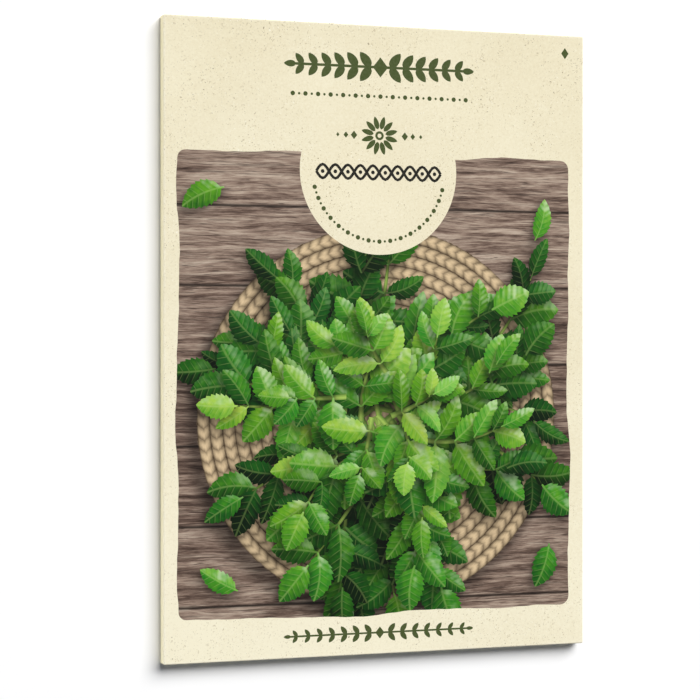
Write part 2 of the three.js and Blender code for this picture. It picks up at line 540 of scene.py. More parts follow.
# %% Mat and board finish
MAT_CENTRE = (0.0, -14.0)
MAT_RADIUS = 34.5
MAT_PITCH = 2.3
STRAND_LENGTH = 2.1
BOARD_HEIGHT = 14.2
BOARD_OFFSET = 4.6
MAT_SHADOW = (-1.4, -1.9)  # where the mat's shadow falls on the boards
MAT_TAN = ink(220, 194, 154)
MAT_DARK = ink(54, 38, 22)
CRACK_BROWN = ink(44, 33, 29)
GAP_BROWN = ink(26, 19, 16)
BOARD_TONES = [
    (0.22, ink(54, 40, 33)),
    (0.42, ink(108, 88, 77)),
    (0.58, ink(152, 131, 116)),
    (0.8, ink(192, 174, 156)),
]


def board_colour(finish, place):
    """Weathered boards: each has its own stretch of grain, dark cracks and a gap to the next one."""
    x, y, _ = place.parts()
    board = ((y + BOARD_OFFSET) / BOARD_HEIGHT).floor()
    rise = ((y + BOARD_OFFSET) / BOARD_HEIGHT) % 1.0
    shift = board * 7.31
    drift = finish.noise(finish.combine(x * 0.05, y * 0.2, shift), 1.0, 2.0) * 2.4
    grain = finish.noise(finish.combine(x * 0.07 + shift, y * 0.9 + drift, shift), 1.0, 5.0, 0.62)
    fine = finish.noise(finish.combine(x * 0.35, y * 5.0 + drift * 4.0, shift), 1.0, 4.0, 0.7)
    crack = finish.noise(finish.combine(x * 0.05 + shift, y * 1.9 + drift, shift + 3.0), 1.0, 3.0)
    tone = grain * 1.15 + fine * 0.75 - 0.44 + shift.sine() * 0.06
    colour = finish.ramp(tone, BOARD_TONES)
    dark = abs(crack - 0.5).step(0.028, 0.008)
    colour = finish.mix(dark * 0.62, colour, CRACK_BROWN)
    gap = abs(rise - 0.5).step(0.47, 0.497)
    return finish.mix(gap * 0.88, colour, GAP_BROWN)


def length_of(x, y):
    """The square root of the sum of two squares."""
    return (x * x + y * y) ** 0.5


def ground_finish():
    finish = Finish("printed mat and boards")
    _, shade, _ = finish.attribute("blade_light")
    place = finish.place()
    x, y, _ = finish.vector("SUBTRACT", place, (*MAT_CENTRE, 0.0)).parts()
    radius = length_of(x, y)
    turn = finish.math("ARCTAN2", y, x) / (2 * np.pi)
    frayed = finish.noise(place, 0.9, 4.0, 0.7) - 0.5
    ring = (radius / MAT_PITCH).floor()
    across = (radius / MAT_PITCH) % 1.0
    strands = finish.math("ROUND", (ring + 0.5) * (2 * np.pi * MAT_PITCH / STRAND_LENGTH))
    strand = (turn * strands + abs(across - 0.5) * 0.9 + ring * 0.37) % 1.0
    plait = (across * np.pi).sine() ** 0.6 * (0.35 + (strand * np.pi).sine() * 0.65)
    hairs = finish.noise(finish.combine(strand * 2.0, across * 9.0, ring * 3.1), 1.0, 3.0) - 0.5
    mat = finish.mix(plait + hairs * 0.5 + frayed * 0.4, MAT_DARK, MAT_TAN)
    from_shadow = length_of(x - MAT_SHADOW[0], y - MAT_SHADOW[1])
    shadow = from_shadow.step(MAT_RADIUS + 2.2, MAT_RADIUS - 1.0)
    boards = finish.lit(board_colour(finish, place), 1.0 - shadow * 0.6)
    on_mat = (radius + frayed * 0.9).step(MAT_RADIUS + 0.12, MAT_RADIUS - 0.12)
    return close_print(finish, finish.lit(finish.mix(on_mat, boards, mat), shade), place)


ground_print = ground_finish()
print("mat of", int(MAT_RADIUS // MAT_PITCH), "rings")

# %% [markdown]
# All that is printed is a list of flat shapes in the order in which a painter would lay them down. A
# shape has an outline and an ink. A leaf or a stem is a blade as well: a spine that bends like a
# parabola, with a width that changes along it. The blade remembers its frame, so that any point on it can
# be turned back into a place along and across it.

# %% Blades
PAPER_INK, OLIVE_INK, BLACK_INK, GROUND_INK, LEAF_INK, STEM_INK = range(6)
front_materials = [paper, olive, black, ground_print, leaf_print, stem_print]

LEAF_TEETH = 8
LEAF_NECK = 0.07  # share of a leaf's length that is its stalk
LEAF_NECK_WIDTH = 0.09
STEM_TAPER = 0.67  # share of a stem's width that is gone at its tip
PICTURE_LIGHT = np.array([0.55, 0.83])  # where the light in the picture comes from
BLADE_CLEAR = 1.2  # blades are cut off this far inside the packet's edge, outside the picture
FRONT_HIGH = np.array([WIDTH, HEIGHT]) / 2
FRONT_LOW = -FRONT_HIGH

shapes = []


def direction(angle):
    """The unit vector that points along an angle, or one for each of many angles."""
    return np.stack([np.cos(angle), np.sin(angle)], axis=-1)


def left_of(vectors):
    """Flat vectors turned by a quarter turn to the left."""
    return np.stack([-vectors[..., 1], vectors[..., 0]], axis=-1)


def leaf_width(along):
    """A leaf's half width: along^0.6 times (1 - along)^0.8, scaled to 1 at the widest place."""
    return 2.6 * along**0.6 * (1 - along) ** 0.8


def toothed_profile():
    """Places along a leaf and its half width there. Each tooth widens slowly towards the tip and ends in a
    step."""
    within = np.tile([0.04, 0.5, 0.96], LEAF_TEETH)
    tooth = np.repeat(np.arange(LEAF_TEETH), 3)
    along = (tooth + within) / LEAF_TEETH
    width = leaf_width(along) * (1 + 0.2 * (within - 0.5))
    along = np.r_[0.0, LEAF_NECK * 0.8, LEAF_NECK + along * (1 - LEAF_NECK), 1.0]
    return along, np.r_[LEAF_NECK_WIDTH * 0.6, LEAF_NECK_WIDTH, width, 0.0]


def smooth_profile(steps=9):
    """The same leaf without teeth or stalk, for small ornament."""
    along = np.linspace(0.0, 1.0, steps)
    return along, leaf_width(along)


def stem_profile(steps=15):
    """A stem: it tapers evenly to a third of its width."""
    along = np.linspace(0.0, 1.0, steps)
    return along, 1.0 - STEM_TAPER * along


def blade(base, angle, length, half_width, bend, profile, shape_ink, tone=0.5, warmth=0.5, onto=shapes):
    """Adds a blade that starts at base and points along angle. Across its length the spine stands off the
    straight line by 4 times bend times along times (1 - along); bend and half_width are shares of length."""
    along, width = profile
    spine = 4 * bend * along * (1 - along)
    right = np.c_[along, spine - half_width * width]
    left = np.c_[along, spine + half_width * width][::-1]
    axis = direction(angle)
    side = left_of(axis)
    local = np.vstack([right, left]) * length
    outline = np.asarray(base) + local[:, :1] * axis + local[:, 1:] * side
    outline = np.clip(outline, FRONT_LOW + BLADE_CLEAR, FRONT_HIGH - BLADE_CLEAR)
    onto.append(
        {
            "outline": outline,
            "ink": shape_ink,
            "base": np.asarray(base, float),
            "axis": axis,
            "side": side,
            "length": length,
            "half_width": half_width,
            "bend": bend,
            "lean": float(side @ PICTURE_LIGHT),
            "pitch": float(axis @ PICTURE_LIGHT),
            "tone": tone,
            "warmth": warmth,
        }
    )


def flat_shape(outline, shape_ink, onto=shapes):
    """Adds a shape with no blade of its own."""
    onto.append({"outline": np.asarray(outline, float), "ink": shape_ink})


print("a leaf's outline has", 2 * len(toothed_profile()[0]), "points")

# %% [markdown]
# The picture's panel has soft corners and slightly wavy edges, as if torn by hand along a ruler. Its
# outline is a rectangle with a quarter circle at each corner, moved in and out by a few slow and quick
# waves along it. Drawing it by hand would take a long list of points, and a formula says the same in two
# lines. The badge at its top is a plain cream disc that bites into the picture.

# %% Panel and badge
PANEL_LOW = np.array([-38.0, -49.6])
PANEL_HIGH = np.array([37.4, 33.4])
PANEL_ROUND = 1.6
PANEL_STEP = 0.8  # between points along an edge
PANEL_WAVE = 0.22
PANEL_WAVES = np.array([5, 9, 14, 23, 61, 97])  # waves in one turn round the panel
PANEL_HEIGHTS = np.array([0.9, 0.8, 0.5, 0.35, 0.14, 0.1]) * PANEL_WAVE
BADGE_CENTRE = np.array([-0.4, 30.5])
BADGE_RADIUS = 15.1


def rounded_rectangle(low, high, radius, corner_steps, edge_step):
    """Points round a rectangle, anticlockwise from its lower right corner, with a quarter circle at each
    corner and evenly spaced points along the edges, and the outward direction at each point."""
    points = []
    outward = []
    corners = np.array([(high[0], low[1]), (high[0], high[1]), (low[0], high[1]), (low[0], low[1])])
    centres = corners + np.array([(-1, 1), (-1, -1), (1, -1), (1, 1)]) * radius
    for corner in range(4):
        turn = (corner - 1) * np.pi / 2 + np.linspace(0, np.pi / 2, corner_steps + 1)
        round_corner = direction(turn)
        arc = centres[corner] + radius * round_corner
        edge = centres[(corner + 1) % 4] + radius * round_corner[-1] - arc[-1]
        count = max(int(np.linalg.norm(edge) / edge_step), 1)
        share = np.arange(1, count)[:, None] / count
        points += [arc, arc[-1] + share * edge]
        outward += [round_corner, np.repeat(round_corner[-1:], count - 1, axis=0)]
    return np.vstack(points), np.vstack(outward)


def panel_outline(seed=4):
    """The panel's rounded rectangle, moved in and out along its edge by a sum of slow and quick waves."""
    points, outward = rounded_rectangle(PANEL_LOW, PANEL_HIGH, PANEL_ROUND, 6, PANEL_STEP)
    length = np.cumsum(np.r_[0.0, np.linalg.norm(np.diff(points, axis=0), axis=1)])
    turn = 2 * np.pi * length / (length[-1] + PANEL_STEP)
    phase = np.random.default_rng(seed).uniform(0, 2 * np.pi, len(PANEL_WAVES))
    offset = (PANEL_HEIGHTS * np.sin(turn[:, None] * PANEL_WAVES + phase)).sum(1)
    return points + outward * offset[:, None]


def disc(centre, radius, steps):
    """Points round a circle."""
    turn = np.linspace(0, 2 * np.pi, steps, endpoint=False)
    return np.asarray(centre) + radius * direction(turn)


flat_shape(panel_outline(), GROUND_INK)
PANEL_SHAPE = 0
print("panel", PANEL_HIGH - PANEL_LOW, "mm")

# %% [markdown]
# A sprig is a bent stem with pairs of leaves that get shorter towards its tip. Four tiers of sprigs lie
# on each other and point outwards, the lowest the longest and darkest. Their feet are scattered round the
# middle, and lengths, turns and colours vary, because a heap of cut herbs has no order. A leaf that is
# seen at a slant is narrower. A few loose leaves lie on the boards.

# %% Sprigs
heap = np.random.default_rng(11)
# sprigs, length, leaf pairs, longest leaf, darkest and lightest tone, for each tier from the lowest up
TIERS = [
    (14, 31.0, 5, 12.6, 0.04, 0.4),
    (12, 26.0, 4, 12.6, 0.12, 0.6),
    (10, 19.0, 4, 11.5, 0.24, 0.8),
    (6, 10.0, 3, 9.5, 0.34, 0.92),
]
LEAF_HALF_WIDTH = 0.31
LEAF_SLANT = (0.62, 1.12)  # how much of its width a leaf shows, from the most slanted to the flattest
STEM_HALF_WIDTH = 0.55  # in millimetres, at the foot of a stem
FOOT_SCATTER = 7.0  # how far from the middle the foot of a stem may lie
PAIRS_FROM_TO = (0.24, 0.9)  # shares of the stem's length, at the lowest pair and at the highest
PAIR_SPREAD = np.radians([68, 38])  # between leaf and stem, at the lowest pair and at the highest
ANGLE_SCATTER = 0.45
BADGE_STEPS = 96
LOOSE_LEAVES = [
    # place of the foot, turn in degrees, length, tone
    ((-29.5, 27.0), 205, 8.5, 0.5),
    ((30.5, 18.5), 75, 8.0, 0.62),
    ((-27.0, -44.5), 150, 8.0, 0.66),
    ((33.5, -38.0), 250, 8.5, 0.44),
]


def leaf(base, angle, length, tone):
    """One toothed leaf of the picture, slightly bent and slanted at random."""
    bend = heap.uniform(-0.09, 0.09)
    width = LEAF_HALF_WIDTH * heap.uniform(*LEAF_SLANT)
    warmth = heap.beta(1.6, 2.2)
    blade(base, angle, length, width, bend, toothed_profile(), LEAF_INK, tone, warmth)


def sprig(angle, length, pairs, leaf_length, darkest, lightest):
    """A bent stem from near the middle outwards, pairs of leaves along it and one leaf at its tip."""
    axis = direction(angle)
    side = left_of(axis)
    base = np.array(MAT_CENTRE) + heap.uniform(-0.4, 1.0) * FOOT_SCATTER * axis
    base = base + heap.uniform(-0.7, 0.7) * FOOT_SCATTER * side
    bend = heap.uniform(-0.13, 0.13)
    blade(base, angle, length, STEM_HALF_WIDTH / length, bend, stem_profile(), STEM_INK)
    for share in np.linspace(*PAIRS_FROM_TO, pairs):
        node = base + length * (share * axis + 4 * bend * share * (1 - share) * side)
        heading = angle + np.arctan(4 * bend * (1 - 2 * share))
        spread = np.interp(share, PAIRS_FROM_TO, PAIR_SPREAD)
        for hand in (-1, 1):
            leaf_angle = heading + hand * spread + heap.uniform(-ANGLE_SCATTER, ANGLE_SCATTER)
            size = leaf_length * (1 - 0.38 * share) * heap.uniform(0.8, 1.15)
            leaf(node, leaf_angle, size, heap.uniform(darkest, lightest))
    tip = base + length * axis
    leaf(tip, angle - np.arctan(4 * bend), leaf_length * 0.66, heap.uniform(darkest, lightest) + 0.08)


for place, turn, length, tone in LOOSE_LEAVES:
    leaf(place, np.radians(turn), length, tone)
for tier, (count, length, pairs, leaf_length, darkest, lightest) in enumerate(TIERS):
    for spoke in range(count):
        angle = 2 * np.pi * (spoke + 0.37 * tier) / count + heap.uniform(-ANGLE_SCATTER, ANGLE_SCATTER)
        sprig(angle, length * heap.uniform(0.8, 1.12), pairs, leaf_length, darkest, lightest)

PICTURE_SHAPES = range(PANEL_SHAPE + 1, len(shapes))
flat_shape(disc(BADGE_CENTRE, BADGE_RADIUS, BADGE_STEPS), PAPER_INK)
print("picture of", len(PICTURE_SHAPES), "leaves and stems")

# %% [markdown]
# Line ornament in olive and black stands above the picture, in the badge and below the picture: garlands
# of small leaves, a rosette, a two-strand twist and rows of beads. They are old printers' ornaments, made
# from four simple shapes: a blade, a band, a lozenge and a disc. The garland and the row of beads above
# the picture come first.

# %% Ornament shapes
GARLAND_LEAN = np.radians(52)  # between a garland's leaf and its line
BEAD_RADIUS = 0.42
BEADS_FROM_TO = (-16.8, 16.6)
BEADS_Y = 44.1
BEADS = 29


def lozenge(centre, half_width, half_height):
    """The four points of a lozenge."""
    local = np.array([[half_width, 0], [0, half_height], [-half_width, 0], [0, -half_height]])
    return np.asarray(centre) + local


def band(path, half_width):
    """The outline of a line of even width along a path of points."""
    along = np.gradient(path, axis=0)
    along /= np.linalg.norm(along, axis=1, keepdims=True)
    side = left_of(along) * half_width
    return np.vstack([path - side, (path + side)[::-1]])


def garland(centre, half_length, leaf_length, half_width, line, pairs, onto=shapes):
    """A level line with a lozenge in its middle, and pairs of small leaves that lean away from it."""
    centre = np.asarray(centre, float)
    ends = centre + np.array([[-half_length, 0.0], [half_length, 0.0]])
    flat_shape(band(np.linspace(*ends, 5), line), OLIVE_INK, onto)
    flat_shape(lozenge(centre, leaf_length * 0.42, leaf_length * 0.52), OLIVE_INK, onto)
    for hand in (-1, 1):
        outward = 0.0 if hand > 0 else np.pi
        for step in range(pairs):
            share = (step + 0.72) / (pairs + 0.35)
            foot = centre + np.array([hand * share * half_length, 0.0])
            size = leaf_length * (1 - 0.35 * share)
            for up in (-1, 1):
                angle = outward + hand * up * GARLAND_LEAN
                blade(foot, angle, size, half_width, 0.0, smooth_profile(), OLIVE_INK, onto=onto)
        tip = centre + np.array([hand * half_length * 0.985, 0.0])
        blade(tip, outward, leaf_length * 0.66, half_width, 0.0, smooth_profile(), OLIVE_INK, onto=onto)


def bead_row(places):
    """Beads at places, with every second one smaller."""
    for index, place in enumerate(places):
        radius = BEAD_RADIUS if index % 2 == 0 else BEAD_RADIUS * 0.55
        flat_shape(disc(place, radius, 14), OLIVE_INK)


garland((-0.1, 49.4), half_length=16.3, leaf_length=3.5, half_width=0.26, line=0.24, pairs=6)
bead_row(np.c_[np.linspace(*BEADS_FROM_TO, BEADS), np.full(BEADS, BEADS_Y)])
print("shapes so far:", len(shapes))

# %% [markdown]
# The badge holds the rosette, the twist and an arc of beads along its lower edge. Below the picture is a
# second, finer garland, and a single lozenge stands in the upper right corner. Each is a loop over the
# simple shapes, so their number and size can be changed in one place.

# %% Badge and foot ornament
ROSETTE_CENTRE = np.array([-0.3, 37.0])
ROSETTE_PETALS = 12
ROSETTE_RADIUS = 3.6
PETAL_FOOT = 1.15  # from the rosette's centre to the foot of a petal
ROSETTE_LOZENGES = (0.62, 0.46, 0.32)  # half widths, from the rosette outwards
LOZENGE_START = 4.9
LOZENGE_PITCH = 1.55
TWIST_Y = 30.3
TWIST_HALF_LENGTH = 12.0
TWIST_HALF_HEIGHT = 1.25
TWIST_WAVES = 5
ARC_RADIUS = 12.7
ARC_FROM_TO = np.radians([-166, -14])
ARC_BEADS = 33


def rosette():
    """Pointed petals round a disc with a bare middle, and lozenges on each side that get smaller outwards."""
    for petal in range(ROSETTE_PETALS):
        angle = 2 * np.pi * petal / ROSETTE_PETALS + np.pi / ROSETTE_PETALS
        foot = ROSETTE_CENTRE + PETAL_FOOT * direction(angle)
        blade(foot, angle, ROSETTE_RADIUS - PETAL_FOOT, 0.2, 0.0, smooth_profile(), OLIVE_INK)
    flat_shape(disc(ROSETTE_CENTRE, 0.82, 24), OLIVE_INK)
    flat_shape(disc(ROSETTE_CENTRE, 0.38, 16), PAPER_INK)
    for hand in (-1, 1):
        for step, size in enumerate(ROSETTE_LOZENGES):
            centre = ROSETTE_CENTRE + np.array([hand * (LOZENGE_START + LOZENGE_PITCH * step), 0.0])
            flat_shape(lozenge(centre, size, size * 1.25), OLIVE_INK)


def twist():
    """Two strands that cross like a rope, one half a wave behind the other, with a bead in each loop."""
    x = np.linspace(-TWIST_HALF_LENGTH, TWIST_HALF_LENGTH, 12 * TWIST_WAVES + 1)
    phase = np.pi * TWIST_WAVES * (x / TWIST_HALF_LENGTH + 1)
    for hand in (-1, 1):
        path = np.c_[BADGE_CENTRE[0] + x, TWIST_Y + hand * TWIST_HALF_HEIGHT * np.sin(phase)]
        flat_shape(band(path, 0.26), BLACK_INK)
    loops = (np.arange(2 * TWIST_WAVES) + 0.5) / TWIST_WAVES - 1
    for loop in loops:
        flat_shape(disc((BADGE_CENTRE[0] + loop * TWIST_HALF_LENGTH, TWIST_Y), 0.36, 12), BLACK_INK)


def bead_arc():
    """Beads along the inside of the badge's lower edge."""
    bead_row(BADGE_CENTRE + ARC_RADIUS * direction(np.linspace(*ARC_FROM_TO, ARC_BEADS)))


rosette()
twist()
bead_arc()
garland((-0.2, -53.1), half_length=17.2, leaf_length=2.1, half_width=0.25, line=0.17, pairs=7)
flat_shape(lozenge((36.7, 53.6), 0.75, 1.05), OLIVE_INK)
print("shapes in all:", len(shapes))

# %% [markdown]
# The front is a sheet that is filled from behind by the seeds, so it isn't quite flat: it swells by a
# third of a millimetre and has slow, shallow waves. Both die out at the folds. A cloth simulation could
# swell it too. A formula is quicker, and it gives the height and the slope at any point, however the
# print cuts up the face.

# %% Front surface
FOLD_RADIUS = 0.22
CORNER_RADIUS = 0.3  # of the packet's outline, seen from above
INSET_CORNER = CORNER_RADIUS - FOLD_RADIUS
FRONT_SWELL = 0.32
FRONT_WAVE = 0.05
EDGE_STEP = 2.0  # between points along the front's edge
inset_high = FRONT_HIGH - FOLD_RADIUS
inset_low = -inset_high


def front_height(points):
    """How far the front stands above its folds: a swell of (1 - x^2)^2 (1 - y^2)^2, with x and y from -1 to 1
    between the folds, and three slow waves under the same cover."""
    share = points / inset_high
    cover = np.clip(1 - share**2, 0, None).prod(axis=1) ** 2
    x, y = points[:, 0], points[:, 1]
    waves = np.sin(0.21 * x + 0.13 * y) + np.sin(0.11 * x - 0.19 * y + 1.0) + np.sin(0.27 * y + 2.2)
    return cover * FRONT_SWELL + cover**0.5 * waves * FRONT_WAVE


def front_normals(points, reach=0.05):
    """Unit normals of the front from the slope between two near points each way."""
    slopes = []
    for step in np.eye(2) * reach:
        slopes.append((front_height(points + step) - front_height(points - step)) / (2 * reach))
    normals = np.c_[-slopes[0], -slopes[1], np.ones(len(points))]
    return normals / np.linalg.norm(normals, axis=1, keepdims=True)


inset, inset_outward = rounded_rectangle(inset_low, inset_high, INSET_CORNER, 6, EDGE_STEP)
print("front edge of", len(inset), "points")

# %% [markdown]
# The printed face has to have a clean edge wherever two inks meet, at any distance. So the outlines
# themselves become edges of the mesh: a constrained Delaunay triangulation takes all outlines at once,
# cuts them where they cross and says for each triangle which shapes hold it. The last of these in
# painter's order is the one that shows. A fine grid of further points lets the shade change softly inside
# a shape.

# %% Triangulate the print
GRID_STEP = 0.9
GRID_CLEAR = 0.4  # from the outermost grid points to the fold
CDT_SMALLEST = 2e-3


def hexagonal_grid(low, high, step):
    """Points in rows, with every second row moved by half a step."""
    rows = np.arange(low[1], high[1], step * 0.866)
    columns = np.arange(low[0], high[0], step)
    x, y = np.meshgrid(columns, rows)
    x = x + np.where(np.arange(len(rows)) % 2, step / 2, 0.0)[:, None]
    return np.c_[x.ravel(), y.ravel()]


def triangulate(outlines, loose):
    """Triangles inside the first outline. Gives the points, the triangles and each triangle's outlines."""
    points = np.vstack([*outlines, loose])
    ends = np.cumsum([len(outline) for outline in outlines])
    loops = [list(range(end - len(outline), end)) for end, outline in zip(ends, outlines)]
    made = delaunay_2d_cdt([Vector(point) for point in points], [], loops, 1, CDT_SMALLEST, True)
    return np.array([tuple(point) for point in made[0]]), np.array(made[2]), made[5]


grid = hexagonal_grid(inset_low + GRID_CLEAR, inset_high - GRID_CLEAR, GRID_STEP)
grid = grid[(np.abs(grid) < inset_high - GRID_CLEAR).all(axis=1)]
flat_points, triangles, holders = triangulate([inset] + [shape["outline"] for shape in shapes], grid)
print("printed face:", len(flat_points), "points,", len(triangles), "triangles")

# %% [markdown]
# Now each triangle gets its ink, and each corner of a triangle its place on its leaf. A corner is darker
# the more leaves lie between it and the light of the picture: every leaf above it is taken as an ellipse
# with a soft rim, moved a little away from the light.

# %% Inks, places and shade
# Each leaf throws a short firm shadow and a wide faint one: reach in millimetres, depth, and the shares of
# the leaf's ellipse inside which the shadow is full and outside which it ends.
LEAF_SHADOWS = [(0.7, 0.52, 0.8, 1.2), (2.2, 0.26, 0.4, 1.8)]
ELLIPSE_MIDDLE = 0.48  # both are shares of the leaf's length
ELLIPSE_HALF = 0.54
DEEPEST_SHADE = 0.06


def shown_shape(holders):
    """The shape that shows in each triangle, -1 on bare paper. Leaves and stems show only on the panel."""
    top = np.array([max(held) for held in holders]) - 1
    on_panel = np.array([PANEL_SHAPE + 1 in held for held in holders])
    in_picture = (top >= PICTURE_SHAPES.start) & (top < PICTURE_SHAPES.stop)
    return np.where(in_picture & ~on_panel, -1, top)


def blade_table(key, fallback):
    """One number or pair for each shape, with a fallback for shapes that are no blades."""
    return np.array([shape.get(key, fallback) for shape in shapes], float)


bases = blade_table("base", (0.0, 0.0))
axes = blade_table("axis", (1.0, 0.0))
sides = blade_table("side", (0.0, 1.0))
lengths = blade_table("length", 1.0)
half_widths = blade_table("half_width", 1.0)
bends = blade_table("bend", 0.0)
shape_inks = np.array([shape["ink"] for shape in shapes])


def places_on_blades(points, which):
    """How far along its blade each point is, and how far across: 1 at the widest place's margin. The blade is
    given by its number, one for all points or one for each."""
    offset = points - bases[which]
    along = (offset * axes[which]).sum(-1) / lengths[which]
    across = (offset * sides[which]).sum(-1) / lengths[which]
    across = across - 4 * bends[which] * along * (1 - along)
    return along, across / half_widths[which]


def shade_at(points, order):
    """The light left at points on shapes of that order: each leaf above takes its share away."""
    light = np.ones(len(points))
    leaves = [above for above in PICTURE_SHAPES if shape_inks[above] == LEAF_INK]
    for above in leaves:
        for reach, depth, full, end in LEAF_SHADOWS:
            along, across = places_on_blades(points + PICTURE_LIGHT * reach, above)
            ellipse = np.hypot((along - ELLIPSE_MIDDLE) / ELLIPSE_HALF, across)
            rim = np.clip((end - ellipse) / (end - full), 0, 1)
            cover = rim * rim * (3 - 2 * rim) * (order < above)
            light *= 1 - depth * cover
    return DEEPEST_SHADE + (1 - DEEPEST_SHADE) * light


def at_corners(key):
    """A number of the blade that shows at each corner."""
    return blade_table(key, 0.0)[corner_shape]


shown = shown_shape(holders)
triangle_inks = np.where(shown >= 0, shape_inks[shown], PAPER_INK)
corner_shape = np.repeat(shown, 3)
corner_point = flat_points[triangles.ravel()]
# many corners share their point and their shape, so the shade is worked out once for each such pair
shaded, pair_of_corner = np.unique(np.c_[triangles.ravel(), corner_shape], axis=0, return_inverse=True)
corner_shade = shade_at(flat_points[shaded[:, 0]], shaded[:, 1])[pair_of_corner.ravel()]
along, across = places_on_blades(corner_point, corner_shape)
across = np.where(np.repeat(triangle_inks, 3) == STEM_INK, across / (1 - STEM_TAPER * along), across)
blade_place = np.c_[along, across, at_corners("lean")]
blade_light = np.c_[at_corners("tone"), corner_shade, at_corners("warmth")]
blade_turn = np.c_[at_corners("pitch"), np.zeros((len(corner_shape), 2))]
print("triangles of each ink:", np.bincount(triangle_inks).tolist())

# %% [markdown]
# The folds go all the way round the front. Their cross-section is a profile that is carried along the
# packet's outline: a small quarter circle over the front edge, the narrow side, a quarter circle under
# the back edge, and the same way back on the inside, one paper thickness further in. Only two things
# change on the way. The lower end meets the back panel on the left, the seam tab on the right, and the
# flaps at the top and bottom. And between its two creases the paper bows in, more in some places than in
# others, but not at the corners.

# %% Folds
ARC_STEPS = 6
SIDE_STEPS = 5  # rows of points between the two creases
SIDE_BOW = 0.13


def lower_level(points):
    """The level of the layer that each point of the outline is folded down to. Round a corner it changes
    evenly with the angle."""
    past = np.clip((np.abs(points) - inset_high + INSET_CORNER) / INSET_CORNER, 0, 1)
    turn = np.arctan2(past[:, 0], np.maximum(past[:, 1], 1e-9)) / (np.pi / 2)
    side_level = np.where(points[:, 0] < 0, BACK_Z, TAB_Z)
    return FLAP_Z + turn * (side_level - FLAP_Z)


def side_bow(points):
    """How far the side bows in at each point of the outline: two slow waves along the edge, under a cover
    that falls with the eighth power of the distance from the edge's middle."""
    share = np.abs(points / inset_high)
    upright = share[:, 0] > share[:, 1]
    along = np.where(upright, points[:, 1], points[:, 0])
    other = np.where(upright, points[:, 0], points[:, 1])
    waves = 0.5 + 0.3 * np.sin(0.16 * along + 0.05 * other) + 0.2 * np.sin(0.41 * along - 0.07 * other)
    return SIDE_BOW * waves * (1 - share.min(axis=1) ** 8)


def fold_grid():
    """The folds' surface as outline points by profile points, down the outside and up the inside. A crease is
    a quarter circle of the fold radius, or of the fold radius less the paper inside, and the side between two
    creases is a parabola as deep as its bow."""
    quarter = np.linspace(0, np.pi / 2, ARC_STEPS)
    share = np.arange(1, SIDE_STEPS + 1) / (SIDE_STEPS + 1)
    level = lower_level(inset)[:, None]
    bow = side_bow(inset)[:, None] * 4 * share * (1 - share)
    each_point = (len(inset), 1)
    sheets = []
    for radius in (FOLD_RADIUS, FOLD_RADIUS - PAPER):
        depth = FOLD_RADIUS - radius
        over = np.tile(radius * np.sin(quarter), each_point)
        under = np.tile(radius * np.cos(quarter), each_point)
        reach = np.hstack([over, radius - bow, under])[:, :, None]
        upper = np.tile(FRONT_Z - depth - radius * (1 - np.cos(quarter)), each_point)
        lower = level + depth + radius * (1 - np.sin(quarter))
        side = upper[:, -1:] + share * (lower[:, :1] - upper[:, -1:])
        height = np.hstack([upper, side, lower])[:, :, None]
        flat = inset[:, None, :] + reach * inset_outward[:, None, :]
        sheets.append(np.concatenate([flat, height], axis=2))
    outside, inside = sheets
    return np.concatenate([outside, inside[:, ::-1]], axis=1)


folds = fold_grid()
print("folds:", folds.shape[0], "by", folds.shape[1], "points")

# %% [markdown]
# The front sheet is one closed skin: the printed face, the folds outside and inside, and the inner face.
# The printed face and the folds share the points of the front edge, and so do the folds and the inner
# face. A UV map gives the printed face nearly the whole square, and the folds and the inner face a strip
# at its top.

# %% Front sheet
INNER_STEP = 3.0
PRINT_SHARE = 0.92  # of the map's height
FOLD_STRIP = (0.93, 0.968)
INNER_STRIP = (0.975, 1.0)


def ring_faces(index):
    """Quads over a grid of point numbers whose rows close into a ring, facing out."""
    after = np.roll(index, -1, axis=0)
    return np.stack([index[:, :-1], index[:, 1:], after[:, 1:], after[:, :-1]], axis=-1).reshape(-1, 4)


def edge_numbers(points, edge):
    """The number of the point that lies on each point of an edge."""
    return np.linalg.norm(points[None, :, :] - edge[:, None, :], axis=2).argmin(axis=1)


def flat_map(points, low, high):
    """Map places of flat points: across is the packet's width, up is its height between low and high."""
    share = points / np.array([WIDTH, HEIGHT]) + 0.5
    return np.c_[share[:, 0], low + share[:, 1] * (high - low)]


def strip_map(rows, columns, low, high):
    """Map places of the corners of a ring of quads: rows go across the map, and columns go up it between low
    and high."""
    row, column = np.divmod(np.arange(rows * columns), columns)
    u = np.stack([row, row, row + 1, row + 1], axis=1) / rows
    v = np.stack([column, column + 1, column + 1, column], axis=1) / columns
    return np.c_[u.ravel(), low + v.ravel() * (high - low)]


def set_map(mesh, places):
    """Stores the map place of every face corner."""
    mesh.uv_layers.new(name="OFBake").data.foreach_set("uv", places.astype(np.float32).ravel())


inner_grid = hexagonal_grid(inset_low + INNER_STEP, inset_high - INNER_STEP / 2, INNER_STEP)
inner_points, inner_triangles, _ = triangulate([inset], inner_grid)

outer_count = len(flat_points)
fold_count = folds.shape[0] * (folds.shape[1] - 2)
fold_index = np.empty(folds.shape[:2], int)
fold_index[:, 0] = edge_numbers(flat_points, inset)
fold_index[:, 1:-1] = outer_count + np.arange(fold_count).reshape(folds.shape[0], -1)
fold_index[:, -1] = outer_count + fold_count + edge_numbers(inner_points, inset)

